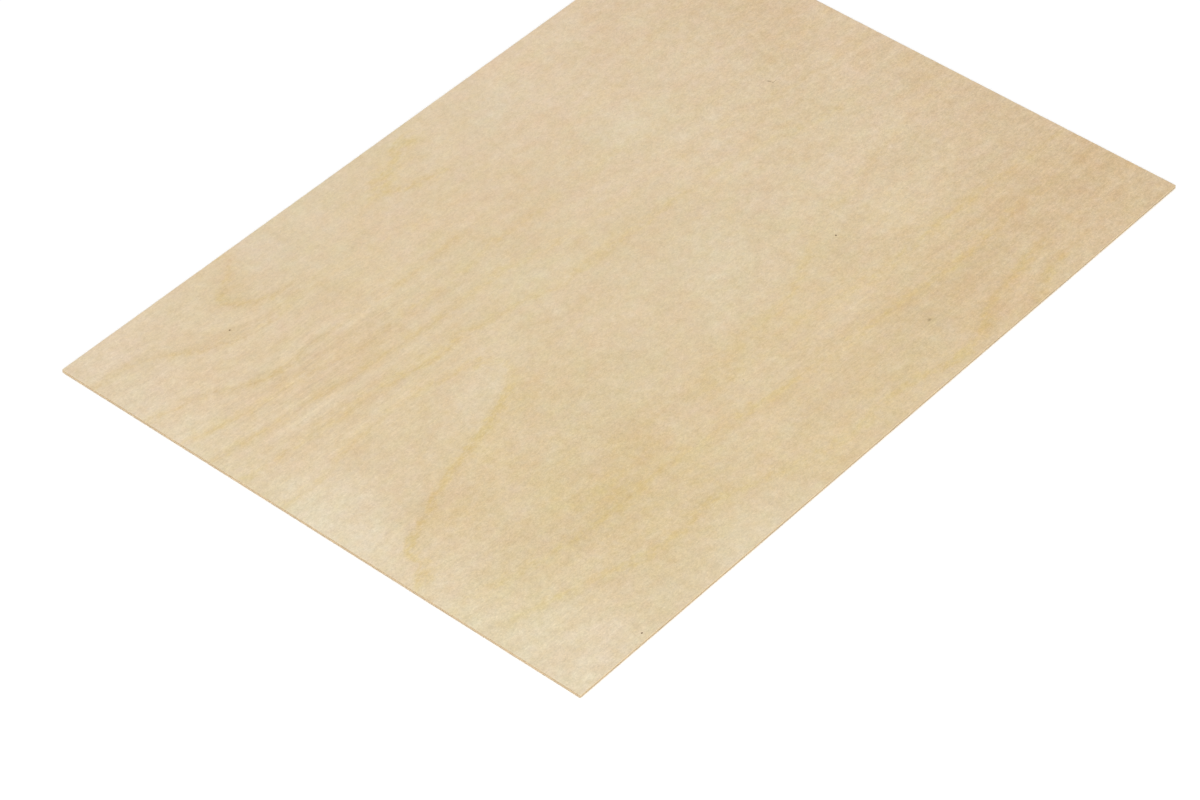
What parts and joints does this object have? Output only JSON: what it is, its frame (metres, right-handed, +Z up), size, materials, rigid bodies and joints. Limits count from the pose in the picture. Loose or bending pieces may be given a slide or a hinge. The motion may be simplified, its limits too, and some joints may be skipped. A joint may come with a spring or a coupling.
{
  "type": "plywood sheet",
  "caption": "Thin rectangular sheet of pale plywood, cut square, with a sanded rotary-cut face, for cutting, gluing or cladding.",
  "frame": {"origin": "middle of the back, which lies on Z = 0", "axes": "+Z up, out of the better face; +Y along the grain of the face, which is the sheet's length; X across the grain"},
  "size_m": [0.297, 0.42, 0.0015],
  "materials": {
    "veneer": "bare sanded veneer, matt"
  },
  "bodies": {
    "root": {"plywood_sheet": "veneer"}
  },
  "joints": []
}
